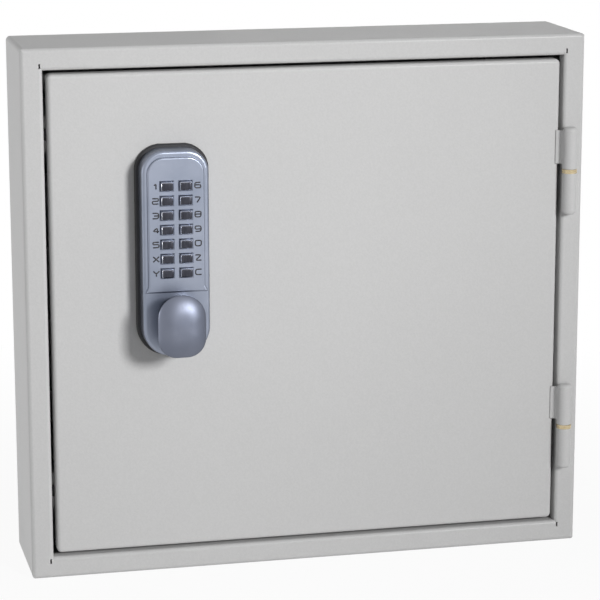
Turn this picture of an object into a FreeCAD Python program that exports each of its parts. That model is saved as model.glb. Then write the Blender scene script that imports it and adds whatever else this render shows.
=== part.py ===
import FreeCAD, Part
import math
import os
import re
import Sketcher

# Wall-mounted steel key cabinet with a push-button lock.
# Millimetres, +Z up, X to the right seen from the front, the front faces -Y.
# The origin is the centre of the four wall-fixing holes, on the back plane.
# A distance called away is measured forward from that back plane.

document = FreeCAD.newDocument("KeyCabinet")

# Driving sizes, one per row of the sheet
SIZES = {
    # folded body
    "cabinet_width": 380,
    "cabinet_height": 355,
    "cabinet_depth": 75,
    "body_steel": 1.5,
    "face_width": 14.5,
    "lip_depth": 9.6,
    "bend_radius": 2.5,
    "shell_corner": 3,
    "relief_width": 1.1,
    "relief_length": 3.2,
    "back_flange": 10,
    "fixing_side": 60,
    "fixing_top": 57.5,
    "fixing_radius": 3.25,
    # door
    "door_gap": 2.6,
    "door_fold": 10,
    "door_steel": 1.5,
    "door_corner": 3,
    # barrel hinges
    "hinge_inset": 11,
    "hinge_standoff": 5.4,
    "knuckle_radius": 4.9,
    "knuckle_length": 28.4,
    "knuckle_dome": 2.6,
    "washer_radius": 5.15,
    "washer_thickness": 2.8,
    "pin_radius": 2.4,
    "pin_reach": 21,
    "running_clearance": 0.05,
    "end_clearance": 0.1,
    "upper_hinge_drop": 92.2,
    "lower_hinge_rise": 84.5,
    "leaf_reach": 8.5,
    "leaf_thickness": 1.8,
    "leaf_length": 22.6,
    "leaf_start": 3.2,
    "leaf_bevel": 2.6,
    "foot_width": 5.5,
    "foot_inside": 1,
    "foot_top": 4.655,
    "foot_wall": 0.5,
    # door stops
    "stop_drop": 57.5,
    "stop_width": 24,
    "stop_steel": 1.5,
    "buffer_radius": 4,
    "buffer_height": 2,
    # hook rails, bars and hooks
    "rail_inset": 40,
    "rail_end": 22.5,
    "rail_web": 18,
    "rail_foot": 8,
    "rail_depth": 8,
    "rail_steel": 1.2,
    "slot_width": 5,
    "slot_length": 10,
    "bar_pitch": 50,
    "bar_end": 22,
    "bar_height": 22,
    "bar_depth": 7,
    "bar_steel": 1.2,
    "hook_pitch": 38,
    "hook_thickness": 1.6,
    "hook_reach": 12.5,
    "hook_rise": 8,
    "hook_strand": 2.4,
    "hook_bend": 4,
    "hook_drop": 6,
    "screw_radius": 2,
    "screw_head": 4.4,
    # push-button lock
    "lock_inset": 97,
    "knob_up": 176,
    "gasket_rim": 2.3,
    "gasket_thickness": 3,
    "housing_width": 44.4,
    "housing_height": 136.4,
    "housing_drop": 23.8,
    "housing_depth": 13.5,
    "housing_top_corner": 14.7,
    "housing_low_corner": 18.7,
    "housing_edge": 2.2,
    "panel_width": 37.5,
    "panel_rise": 1.8,
    "panel_foot": 43,
    "panel_margin": 4.2,
    "panel_corner": 11,
    "panel_edge": 1.1,
    "panel_flare": 2,
    "button_width": 8,
    "button_height": 5.6,
    "button_proud": 3,
    "button_clearance": 0.2,
    "button_travel": 1.8,
    "button_pitch": 9.57,
    "button_columns": 12.4,
    "button_low": 56.1,
    "button_flange": 1,
    "flange_margin": 0.7,
    "button_stem": 1.5,
    "button_edge": 0.9,
    "stem_clearance": 0.15,
    "stem_floor": 1,
    "pocket_bevel": 0.6,
    "front_wall": 3.3,
    "chassis_width": 29,
    "chassis_height": 76,
    "chassis_low": 46,
    "seat_clearance": 0.1,
    "knob_width": 31.5,
    "knob_height": 41.5,
    "knob_depth": 23.3,
    "knob_gap": 0.5,
    "knob_top_corner": 15.2,
    "knob_low_corner": 12.4,
    "knob_socket": 7.8,
    "neck_radius": 8,
    "neck_length": 6,
    "spindle_radius": 4,
    "spindle_square": 5.6,
    "spindle_hole": 6,
    "bush_radius": 5.6,
    "bush_flange": 8,
    "bush_step": 1.5,
    "plate_width": 38,
    "plate_height": 130,
    "plate_low": 2.5,
    "plate_steel": 2.5,
    "plate_low_corner": 17.1,
    "plate_top_corner": 13.3,
    "lock_bolt_radius": 2.5,
    "lock_bolt_low": 6.5,
    "lock_bolt_spacing": 121,
    "lock_bolt_reach": 12,
    "lock_bolt_head": 4.3,
    "lock_bolt_hole": 0.3,
    # crank, locking bolt and guides
    "crank_arm": 11.3,
    "crank_pin": 2,
    "crank_hub": 6.5,
    "crank_root": 5.2,
    "crank_boss": 3.6,
    "crank_steel": 3,
    "crank_turn": 45,
    "crank_gap": 0.5,
    "yoke_clearance": 0.45,
    "bolt_height": 15,
    "bolt_rise": 5,
    "bolt_steel": 4,
    "bolt_gap": 0.6,
    "bolt_nose": 77,
    "bolt_tail": 49,
    "nose_bevel": 1.5,
    "guide_length": 8,
    "guide_steel": 1.8,
    "guide_clearance": 0.3,
    "guide_foot": 9,
    "guide_left": 61,
    "guide_right": 27,
    "stud_radius": 1.5,
    "stud_end": 1.5,
    "nut_reach": 3.15,
    "nut_height": 2.4,
    "tap_depth": 9,
    "head_reach": 4.5,
    "head_height": 3,
}

BAR_ROWS = 6
HOOKS_PER_BAR = 8
BUTTON_ROWS = 7
LEFT_KEYS = ("1", "2", "3", "4", "5", "x", "y")
RIGHT_KEYS = ("6", "7", "8", "9", "0", "z", "c")

sheet = document.addObject("Spreadsheet::Sheet", "Sizes")
for row, (word, value) in enumerate(SIZES.items(), start=1):
    sheet.set("A%d" % row, word)
    sheet.set("B%d" % row, str(value))
    sheet.setAlias("B%d" % row, word)
document.recompute()

WORDS = re.compile(r"\b(" + "|".join(SIZES) + r")\b")
parts = []


def in_sheet(text):
    """Write a formula so that its words are read from the sheet."""
    return WORDS.sub(r"Sizes.\1", str(text))


def value_of(text):
    """Present value of a formula, in millimetres or degrees."""
    result = sheet.evalExpression(in_sheet(text))
    return float(getattr(result, "Value", result))


def bind(item, name, text):
    item.setExpression(name, in_sheet(text))


# Sketches

def new_body(label):
    body = document.addObject("PartDesign::Body", label)
    body.Label = label
    body.AllowCompound = True
    parts.append(body)
    return body


def new_sketch(body, name, role, away="0", across="0", up="0"):
    """Sketch on an origin plane, moved off it by away and in it by across and up."""
    sketch = body.newObject("Sketcher::SketchObject", name)
    plane = [item for item in body.Origin.OriginFeatures if item.Role == role][0]
    sketch.AttachmentSupport = [(plane, "")]
    sketch.MapMode = "FlatFace"
    bind(sketch, "AttachmentOffset.Base.x", across)
    bind(sketch, "AttachmentOffset.Base.y", up)
    bind(sketch, "AttachmentOffset.Base.z", away)
    return sketch


def pin_point(sketch, line, end, across, up):
    for kind, text in (("DistanceX", across), ("DistanceY", up)):
        number = sketch.addConstraint(
            Sketcher.Constraint(kind, -1, 1, line, end, value_of(text)))
        bind(sketch, "Constraints[%d]" % number, text)


def arc_between(start, stop, radius, turn):
    """Smaller arc from start to stop; turn is 1 to the left, -1 to the right."""
    chord = stop - start
    half = chord.Length / 2
    side = FreeCAD.Vector(-chord.y, chord.x, 0).normalize()
    centre = (start + stop) * 0.5 + side * turn * math.sqrt(max(radius ** 2 - half ** 2, 0))
    first = math.atan2(start.y - centre.y, start.x - centre.x)
    last = math.atan2(stop.y - centre.y, stop.x - centre.x)
    if turn < 0:
        first, last = last, first
    circle = Part.Circle(centre, FreeCAD.Vector(0, 0, 1), radius)
    return Part.ArcOfCircle(circle, first, last if last > first else last + 2 * math.pi)


def draw_outline(sketch, corners):
    """Closed outline. A corner is (across, up), with (radius, turn) added where an arc follows."""
    base = sketch.GeometryCount
    spots = [FreeCAD.Vector(value_of(c[0]), value_of(c[1]), 0) for c in corners]
    count = len(corners)
    ends = []
    for index, corner in enumerate(corners):
        start = spots[index]
        stop = spots[(index + 1) % count]
        if len(corner) > 2:
            sketch.addGeometry(arc_between(start, stop, value_of(corner[2]), corner[3]), False)
            ends.append((1, 2) if corner[3] > 0 else (2, 1))
        else:
            sketch.addGeometry(Part.LineSegment(start, stop), False)
            ends.append((1, 2))
    for index in range(count):
        follower = (index + 1) % count
        sketch.addConstraint(Sketcher.Constraint(
            "Coincident", base + index, ends[index][1], base + follower, ends[follower][0]))
    for index, corner in enumerate(corners):
        pin_point(sketch, base + index, ends[index][0], corner[0], corner[1])
        if len(corner) > 2:
            number = sketch.addConstraint(
                Sketcher.Constraint("Radius", base + index, value_of(corner[2])))
            bind(sketch, "Constraints[%d]" % number, corner[2])


def draw_rectangle(sketch, left, right, low, high):
    draw_outline(sketch, [(left, low), (right, low), (right, high), (left, high)])


def draw_rounded(sketch, left, right, low, high, low_radius, high_radius):
    """Upright shape with rounded corners, drawn anticlockwise from the lower left."""
    corners = [
        ("%s + %s" % (left, low_radius), low),
        ("%s - %s" % (right, low_radius), low, low_radius, 1),
        (right, "%s + %s" % (low, low_radius)),
        (right, "%s - %s" % (high, high_radius), high_radius, 1),
        ("%s - %s" % (right, high_radius), high),
        ("%s + %s" % (left, high_radius), high, high_radius, 1),
        (left, "%s - %s" % (high, high_radius)),
        (left, "%s + %s" % (low, low_radius), low_radius, 1),
    ]
    draw_outline(sketch, corners)


def draw_circle(sketch, across, up, radius):
    number = sketch.GeometryCount
    centre = FreeCAD.Vector(value_of(across), value_of(up), 0)
    sketch.addGeometry(Part.Circle(centre, FreeCAD.Vector(0, 0, 1), value_of(radius)), False)
    pin_point(sketch, number, 3, across, up)
    size = sketch.addConstraint(Sketcher.Constraint("Radius", number, value_of(radius)))
    bind(sketch, "Constraints[%d]" % size, radius)


def draw_hexagon(sketch, across, up, reach):
    """Six-sided outline whose corners lie at reach from its centre."""
    corners = []
    for step in range(6):
        corners.append(("%s + (%s) * cos(%d * 1deg)" % (across, reach, 60 * step),
                        "%s + (%s) * sin(%d * 1deg)" % (up, reach, 60 * step)))
    draw_outline(sketch, corners)


# Features

def pad(body, sketch, length, backward=False, middle=False):
    """Raise a sketch. From an upright sketch this goes forward, unless backward."""
    feature = body.newObject("PartDesign::Pad", sketch.Name + "Pad")
    feature.Profile = sketch
    bind(feature, "Length", length)
    feature.Reversed = backward
    if middle:
        feature.SideType = "Symmetric"
    document.recompute()
    return feature


def pocket(body, sketch, length, forward=False, taper=None):
    """Cut a sketch. From an upright sketch this goes back, unless forward."""
    before = body.Shape.Volume
    feature = body.newObject("PartDesign::Pocket", sketch.Name + "Cut")
    feature.Profile = sketch
    bind(feature, "Length", length)
    feature.Reversed = forward
    if taper is not None:
        feature.TaperAngle = taper
    document.recompute()
    if not body.Shape.Volume < before:
        raise RuntimeError("%s removed nothing" % feature.Name)
    return feature


def revolve(body, sketch):
    """Turn a sketch a full circle about its own upright axis."""
    feature = body.newObject("PartDesign::Revolution", sketch.Name + "Turned")
    feature.Profile = sketch
    feature.ReferenceAxis = (sketch, ["V_Axis"])
    feature.Angle = 360
    document.recompute()
    return feature


def edges_like(body, test):
    return ["Edge%d" % (n + 1) for n, edge in enumerate(body.Shape.Edges) if test(edge)]


def treat_edges(body, kind, name, size, test):
    """Round or bevel the edges of the body's last feature that pass a test."""
    base = body.Tip
    names = edges_like(body, test)
    feature = body.newObject("PartDesign::" + kind, name)
    feature.Base = (base, names)
    bind(feature, "Radius" if kind == "Fillet" else "Size", size)
    document.recompute()
    return feature


def near(first, second):
    return abs(first - second) < 0.01


def edge_along(edge, axis):
    """True for a straight edge along one axis: 0 is X, 1 is Y and 2 is Z."""
    ends = [vertex.Point for vertex in edge.Vertexes]
    if len(ends) < 2 or edge.Curve.TypeId != "Part::GeomLine":
        return False
    return all(near(ends[0][n], ends[1][n]) for n in range(3) if n != axis)


def edge_at_front(edge, away):
    """True where the whole edge lies in the upright plane that is away from the back."""
    box = edge.BoundBox
    return near(box.YMin, -value_of(away)) and near(box.YMax, -value_of(away))


def repeat(body, feature, sketch, count, pitch, axis="H_Axis", second=None):
    """Copy a feature in a row, or in a grid when second gives a count and a pitch."""
    pattern = body.newObject("PartDesign::LinearPattern", feature.Name + "Row")
    pattern.Originals = [feature]
    pattern.Direction = (sketch, [axis])
    pattern.Occurrences = count
    bind(pattern, "Length", "%d * (%s)" % (count - 1, pitch))
    if second:
        pattern.Direction2 = (sketch, ["V_Axis"])
        pattern.Occurrences2 = second[0]
        bind(pattern, "Length2", "%d * (%s)" % (second[0] - 1, second[1]))
    body.Tip = pattern
    document.recompute()
    return pattern


def slab(label, away, thick, draw, holes=()):
    """Flat upright piece: an outline raised forward, with round holes through it."""
    body = new_body(label)
    outline = new_sketch(body, label + "_outline", "XZ_Plane", away)
    draw(outline)
    for across, up, radius in holes:
        draw_circle(outline, across, up, radius)
    pad(body, outline, thick)
    return body


# Places that several pieces share

FRONT = "cabinet_depth"
HALF_WIDE = "cabinet_width / 2"
HALF_HIGH = "cabinet_height / 2"
OPEN_SIDE = "(cabinet_width / 2 - face_width)"
OPEN_TOP = "(cabinet_height / 2 - face_width)"
DOOR_SIDE = "(cabinet_width / 2 - face_width - door_gap)"
DOOR_TOP = "(cabinet_height / 2 - face_width - door_gap)"
HINGE_ACROSS = "(cabinet_width / 2 - hinge_inset)"
HINGE_AWAY = "(cabinet_depth + hinge_standoff)"
HINGES = (("upper", "(cabinet_height / 2 - upper_hinge_drop)"),
          ("lower", "(lower_hinge_rise - cabinet_height / 2)"))
STOP_UP = "(cabinet_height / 2 - stop_drop)"

LOCK_ACROSS = "(lock_inset - cabinet_width / 2)"
KNOB_UP = "(knob_up - cabinet_height / 2)"
HOUSING_LOW = "(%s - housing_drop)" % KNOB_UP
HOUSING_HIGH = "(%s + housing_height)" % HOUSING_LOW
HOUSING_BACK = "(cabinet_depth + gasket_thickness)"
HOUSING_FACE = "(%s + housing_depth)" % HOUSING_BACK
PANEL_FACE = "(%s + panel_rise)" % HOUSING_FACE
PANEL_BACK = "(%s - front_wall)" % PANEL_FACE
CHASSIS_FACE = "(%s - button_flange - button_travel - end_clearance)" % PANEL_BACK
PLATE_FRONT = "(cabinet_depth - door_steel)"
PLATE_BACK = "(%s - plate_steel)" % PLATE_FRONT
BOLT_FRONT = "(cabinet_depth - door_fold - bolt_gap)"
BOLT_BACK = "(%s - bolt_steel)" % BOLT_FRONT
CRANK_FRONT = "(%s - crank_gap)" % BOLT_BACK
CRANK_BACK = "(%s - crank_steel)" % CRANK_FRONT
LOCK_BOLTS = ("(%s + lock_bolt_low)" % HOUSING_LOW,
              "(%s + lock_bolt_low + lock_bolt_spacing)" % HOUSING_LOW)

FIXING_ACROSS = "(cabinet_width - 2 * fixing_side)"
FIXING_UP = "(cabinet_height - 2 * fixing_top)"
RAIL_SPACING = "(cabinet_width - 2 * rail_inset)"
RAIL_FRONT = "(body_steel + rail_depth)"
BAR_FRONT = "(body_steel + rail_depth + bar_depth)"


def bar_up(index):
    return "(%s * bar_pitch)" % (BAR_ROWS / 2 - 0.5 - index)


# Cabinet body

def make_shell():
    """Side, front frame and return lip in one folded section, mitred at the corners."""
    body = new_body("cabinet_shell")
    route = new_sketch(body, "shell_route", "XZ_Plane")
    draw_outline(route, [
        ("-cabinet_width / 2", "0"),
        ("-cabinet_width / 2", "-cabinet_height / 2"),
        (HALF_WIDE, "-cabinet_height / 2"),
        (HALF_WIDE, HALF_HIGH),
        ("-cabinet_width / 2", HALF_HIGH),
    ])
    section = new_sketch(body, "shell_section", "XY_Plane")
    inner = "bend_radius - body_steel"
    left = "-cabinet_width / 2"
    lip = "-" + OPEN_SIDE
    draw_outline(section, [
        (left, "0"),
        (left, "bend_radius - cabinet_depth", "bend_radius", 1),
        (left + " + bend_radius", "-cabinet_depth"),
        (lip + " - bend_radius", "-cabinet_depth", "bend_radius", 1),
        (lip, "bend_radius - cabinet_depth"),
        (lip, "lip_depth - cabinet_depth"),
        (lip + " - body_steel", "lip_depth - cabinet_depth"),
        (lip + " - body_steel", "bend_radius - cabinet_depth", inner, -1),
        (lip + " - bend_radius", "body_steel - cabinet_depth"),
        (left + " + bend_radius", "body_steel - cabinet_depth", inner, -1),
        (left + " + body_steel", "bend_radius - cabinet_depth"),
        (left + " + body_steel", "0"),
    ])
    document.recompute()
    fold = body.newObject("PartDesign::AdditivePipe", "shell_fold")
    fold.Profile = section
    fold.Spine = (route, ["Edge%d" % (n + 1) for n in range(5)])
    fold.Transition = "Right corner"
    document.recompute()
    trim = new_sketch(body, "shell_corners", "XZ_Plane", FRONT)
    draw_rectangle(trim, "-cabinet_width", "cabinet_width", "-cabinet_height", "cabinet_height")
    draw_rounded(trim, "(-cabinet_width / 2)", "(cabinet_width / 2)",
                 "(-cabinet_height / 2)", "(cabinet_height / 2)", "shell_corner", "shell_corner")
    pocket(body, trim, FRONT)
    relief = new_sketch(body, "shell_reliefs", "XZ_Plane", FRONT)
    across = "(%s + bend_radius)" % OPEN_SIDE
    up = "(%s + bend_radius / 2)" % OPEN_TOP
    for side in (-1, 1):
        for top in (-1, 1):
            spots = [(across, up), (across + " - relief_width", up),
                     (across + " - relief_width", up + " + relief_length"),
                     (across, up + " + relief_length")]
            draw_outline(relief, [("%d * (%s)" % (side, x), "%d * (%s)" % (top, z))
                                  for x, z in spots])
    pocket(body, relief, "bend_radius")


def make_back_panel():
    """Tray whose flanges are welded inside the body, with four wall-fixing holes."""
    side = "(cabinet_width / 2 - body_steel)"
    top = "(cabinet_height / 2 - body_steel)"
    body = new_body("back_panel")
    outline = new_sketch(body, "back_outline", "XZ_Plane")
    draw_rectangle(outline, "-" + side, side, "-" + top, top)
    pad(body, outline, "back_flange")
    tray = new_sketch(body, "back_tray", "XZ_Plane", "back_flange")
    inner_side = side + " - body_steel"
    inner_top = top + " - body_steel"
    draw_rectangle(tray, "-(%s)" % inner_side, inner_side, "-(%s)" % inner_top, inner_top)
    pocket(body, tray, "back_flange - body_steel")
    holes = new_sketch(body, "back_holes", "XZ_Plane", "body_steel")
    draw_circle(holes, "-%s / 2" % FIXING_ACROSS, "-%s / 2" % FIXING_UP, "fixing_radius")
    first = pocket(body, holes, "body_steel")
    repeat(body, first, holes, 2, FIXING_ACROSS, second=(2, FIXING_UP))


def make_door_stop(name, up):
    """Angle welded to the left side; the folded door edge lands on its rubber buffer."""
    wall = "(body_steel - cabinet_width / 2)"
    face = "(cabinet_depth - door_fold - end_clearance - buffer_height)"
    body = new_body("door_stop_" + name)
    section = new_sketch(body, "stop_section_" + name, "XY_Plane", up)
    draw_outline(section, [
        (wall, "-%s" % face),
        (wall + " + stop_width", "-%s" % face),
        (wall + " + stop_width", "stop_steel - %s" % face),
        (wall + " + stop_steel", "stop_steel - %s" % face),
        (wall + " + stop_steel", "stop_width / 2 - %s" % face),
        (wall, "stop_width / 2 - %s" % face),
    ])
    pad(body, section, "stop_width", middle=True)


def make_door_buffers():
    face = "(cabinet_depth - door_fold - end_clearance - buffer_height)"
    across = "(door_steel / 2 - %s)" % DOOR_SIDE
    body = new_body("door_buffers")
    disc = new_sketch(body, "buffer_disc", "XZ_Plane", face)
    draw_circle(disc, across, "-" + STOP_UP, "buffer_radius")
    first = pad(body, disc, "buffer_height")
    repeat(body, first, disc, 2, "2 * " + STOP_UP, axis="V_Axis")


# Hook rails, bars and hooks

def make_rail(name, side):
    """Top-hat rail on the back panel, with a row of slots in its raised web."""
    centre = "(%d * %s / 2)" % (side, RAIL_SPACING)
    half = "rail_web / 2"
    body = new_body("hook_rail_" + name)
    section = new_sketch(body, "rail_section_" + name, "XY_Plane", across=centre)
    draw_outline(section, [
        ("-(%s) - rail_foot" % half, "-body_steel"),
        ("-(%s) - rail_foot" % half, "-body_steel - rail_steel"),
        ("-(%s)" % half, "-body_steel - rail_steel"),
        ("-(%s)" % half, "-" + RAIL_FRONT),
        (half, "-" + RAIL_FRONT),
        (half, "-body_steel - rail_steel"),
        (half + " + rail_foot", "-body_steel - rail_steel"),
        (half + " + rail_foot", "-body_steel"),
        (half + " - rail_steel", "-body_steel"),
        (half + " - rail_steel", "rail_steel - " + RAIL_FRONT),
        ("rail_steel - " + half, "rail_steel - " + RAIL_FRONT),
        ("rail_steel - " + half, "-body_steel"),
    ])
    pad(body, section, "cabinet_height - 2 * rail_end", middle=True)
    slots = new_sketch(body, "rail_slots_" + name, "XZ_Plane", RAIL_FRONT, centre)
    low = "(-%s * bar_pitch)" % (BAR_ROWS / 2 - 0.5)
    draw_rectangle(slots, "-slot_width / 2", "slot_width / 2",
                   low + " - slot_length / 2", low + " + slot_length / 2")
    first = pocket(body, slots, "rail_steel")
    repeat(body, first, slots, 2 * BAR_ROWS - 1, "bar_pitch / 2", axis="V_Axis")


def make_bar(index):
    """Hook bar: a channel screwed to the front of both rails."""
    name = "hook_bar_%d" % (index + 1)
    body = new_body(name)
    section = new_sketch(body, name + "_section", "YZ_Plane", up=bar_up(index))
    high = "bar_height / 2"
    draw_outline(section, [
        ("-" + RAIL_FRONT, high),
        ("-" + RAIL_FRONT, high + " - bar_steel"),
        ("bar_steel - " + BAR_FRONT, high + " - bar_steel"),
        ("bar_steel - " + BAR_FRONT, "bar_steel - " + high),
        ("-" + RAIL_FRONT, "bar_steel - " + high),
        ("-" + RAIL_FRONT, "-" + high),
        ("-" + BAR_FRONT, "-" + high),
        ("-" + BAR_FRONT, high),
    ])
    pad(body, section, "cabinet_width - 2 * bar_end", middle=True)
    hole = new_sketch(body, name + "_hole", "XZ_Plane", BAR_FRONT)
    draw_hexagon(hole, "-%s / 2" % RAIL_SPACING, bar_up(index), "screw_radius + seat_clearance")
    first = pocket(body, hole, "bar_steel")
    repeat(body, first, hole, 2, RAIL_SPACING)


def make_hooks(index):
    """One row of flat hooks standing out of a bar, each turned up at its end."""
    name = "key_hooks_%d" % (index + 1)
    body = new_body(name)
    start = "(-%s * hook_pitch)" % (HOOKS_PER_BAR / 2 - 0.5)
    side = new_sketch(body, name + "_side", "YZ_Plane",
                      start, "-" + BAR_FRONT, "%s - hook_drop" % bar_up(index))
    draw_outline(side, [
        ("0", "0"),
        ("0", "hook_strand"),
        ("hook_strand - hook_reach", "hook_strand"),
        ("hook_strand - hook_reach", "hook_rise"),
        ("hook_strand / 2 - hook_reach", "hook_rise + hook_strand / 4"),
        ("-hook_reach", "hook_rise"),
        ("-hook_reach", "hook_bend", "hook_bend", 1),
        ("hook_bend - hook_reach", "0"),
    ])
    first = pad(body, side, "hook_thickness", middle=True)
    repeat(body, first, side, HOOKS_PER_BAR, "hook_pitch", axis="N_Axis")


def make_bar_screws():
    """Hexagon-head screws that hold every bar to both rails."""
    body = new_body("bar_screws")
    shank = new_sketch(body, "bar_screw_shanks", "XZ_Plane", "body_steel + rail_steel")
    head = new_sketch(body, "bar_screw_heads", "XZ_Plane", BAR_FRONT)
    for sketch, reach in ((shank, "screw_radius"), (head, "screw_head")):
        for index in range(BAR_ROWS):
            for side in (-1, 1):
                draw_hexagon(sketch, "%d * %s / 2" % (side, RAIL_SPACING), bar_up(index), reach)
    pad(body, shank, BAR_FRONT + " - body_steel - rail_steel")
    pad(body, head, "screw_radius")


# Door and hinges

def make_door():
    """Flush door: a pan with folded edges all round, cut out for the lock."""
    body = new_body("door_panel")
    outline = new_sketch(body, "door_outline", "XZ_Plane", "cabinet_depth - door_fold")
    draw_rounded(outline, "-" + DOOR_SIDE, DOOR_SIDE, "-" + DOOR_TOP, DOOR_TOP,
                 "door_corner", "door_corner")
    pad(body, outline, "door_fold")
    treat_edges(body, "Fillet", "door_bends", "bend_radius",
                lambda edge: edge_at_front(edge, FRONT))
    pan = new_sketch(body, "door_pan", "XZ_Plane", "cabinet_depth - door_fold")
    side = "(%s - door_steel)" % DOOR_SIDE
    top = "(%s - door_steel)" % DOOR_TOP
    draw_rectangle(pan, "-" + side, side, "-" + top, top)
    pocket(body, pan, "door_fold - door_steel", forward=True)
    holes = new_sketch(body, "door_holes", "XZ_Plane", FRONT)
    draw_circle(holes, LOCK_ACROSS, KNOB_UP, "spindle_hole")
    for up in LOCK_BOLTS:
        draw_circle(holes, LOCK_ACROSS, up, "lock_bolt_radius + lock_bolt_hole")
    pocket(body, holes, "door_steel")


def knuckle_profile(sketch, direction):
    """Half section of a barrel with a domed end and a blind bore for the pin."""
    def along(text):
        return "%d * (%s)" % (direction, text)
    start = "washer_thickness / 2" + (" + end_clearance" if direction > 0 else "")
    top = "washer_thickness / 2 + knuckle_length"
    bore = "pin_radius + running_clearance"
    reach = "washer_thickness / 2 + pin_reach + end_clearance"
    turn = direction
    draw_outline(sketch, [
        ("0", along(reach)),
        (bore, along(reach)),
        (bore, along(start)),
        ("knuckle_radius", along(start)),
        ("knuckle_radius", along(top + " - knuckle_dome"), "knuckle_dome", turn),
        ("knuckle_radius - knuckle_dome", along(top)),
        ("0", along(top)),
    ])


def make_hinge(name, up):
    """Lift-off barrel hinge: two knuckles, the pin between them and its washer."""
    body = new_body("hinge_knuckle_door_" + name)
    section = new_sketch(body, "door_barrel_" + name, "XZ_Plane",
                         HINGE_AWAY, HINGE_ACROSS, up)
    knuckle_profile(section, 1)
    revolve(body, section)
    leaf = new_sketch(body, "door_leaf_" + name, "XY_Plane",
                      "%s + washer_thickness / 2 + leaf_start" % up)
    edge = "(%s - bend_radius)" % DOOR_SIDE
    lift = "knuckle_radius - " + HINGE_AWAY
    shoulder = "knuckle_radius * cos(45 * 1deg)"
    draw_outline(leaf, [
        (HINGE_ACROSS + " - leaf_reach", "-cabinet_depth"),
        (HINGE_ACROSS + " - leaf_reach", "-cabinet_depth - leaf_thickness / 2"),
        (HINGE_ACROSS + " - leaf_reach + leaf_bevel", "-cabinet_depth - leaf_thickness"),
        (HINGE_ACROSS + " - " + shoulder, "-%s - %s" % (HINGE_AWAY, shoulder)),
        (HINGE_ACROSS + " - " + shoulder + " / 2", "-" + HINGE_AWAY),
        (HINGE_ACROSS + " - " + shoulder + " / 2", lift),
        (edge, lift),
        (edge, "-cabinet_depth"),
    ])
    pad(body, leaf, "leaf_length")
    bore = new_sketch(body, "door_bore_" + name, "XY_Plane",
                      "%s + washer_thickness / 2" % up, HINGE_ACROSS, "-" + HINGE_AWAY)
    draw_circle(bore, "0", "0", "pin_radius + running_clearance")
    pocket(body, bore, "pin_reach + end_clearance", forward=True)

    body = new_body("hinge_knuckle_frame_" + name)
    section = new_sketch(body, "frame_barrel_" + name, "XZ_Plane",
                         HINGE_AWAY, HINGE_ACROSS, up)
    knuckle_profile(section, -1)
    revolve(body, section)
    foot = new_sketch(body, "frame_foot_" + name, "XY_Plane",
                      "%s - washer_thickness / 2 - leaf_start - leaf_length" % up)
    draw_outline(foot, [
        (HINGE_ACROSS + " - foot_inside", "-cabinet_depth"),
        (HINGE_ACROSS + " + foot_width", "-cabinet_depth"),
        (HINGE_ACROSS + " + foot_top", "-" + HINGE_AWAY),
        (HINGE_ACROSS + " + pin_radius + foot_wall", "-" + HINGE_AWAY),
        (HINGE_ACROSS + " + pin_radius + foot_wall", "pin_radius + foot_wall - " + HINGE_AWAY),
        (HINGE_ACROSS + " - foot_inside", "pin_radius + foot_wall - " + HINGE_AWAY),
    ])
    pad(body, foot, "leaf_length")

    pin = new_body("hinge_pin_" + name)
    rod = new_sketch(pin, "pin_rod_" + name, "XY_Plane",
                     "%s - washer_thickness / 2 - pin_reach" % up,
                     HINGE_ACROSS, "-" + HINGE_AWAY)
    draw_circle(rod, "0", "0", "pin_radius")
    pad(pin, rod, "2 * pin_reach + washer_thickness")

    washer = new_body("hinge_washer_" + name)
    ring = new_sketch(washer, "washer_ring_" + name, "XY_Plane",
                      "%s - washer_thickness / 2" % up, HINGE_ACROSS, "-" + HINGE_AWAY)
    draw_circle(ring, "0", "0", "washer_radius")
    draw_circle(ring, "0", "0", "pin_radius + running_clearance")
    pad(washer, ring, "washer_thickness")


# Push-button lock, outside the door

def lock_outline(sketch, rim):
    half = "(housing_width / 2 + %s)" % rim
    draw_rounded(sketch, "%s - %s" % (LOCK_ACROSS, half), "%s + %s" % (LOCK_ACROSS, half),
                 "%s - %s" % (HOUSING_LOW, rim), "%s + %s" % (HOUSING_HIGH, rim),
                 "(housing_low_corner + %s)" % rim, "(housing_top_corner + %s)" % rim)


def make_gasket():
    holes = [(LOCK_ACROSS, KNOB_UP, "spindle_hole")]
    holes += [(LOCK_ACROSS, up, "lock_bolt_radius + lock_bolt_hole") for up in LOCK_BOLTS]
    body = slab("lock_gasket", FRONT, "gasket_thickness",
                lambda sketch: lock_outline(sketch, "gasket_rim"), holes)
    treat_edges(body, "Chamfer", "gasket_edge", "gasket_thickness / 4",
                lambda edge: edge_at_front(edge, HOUSING_BACK) and edge.Length > 30)


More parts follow.
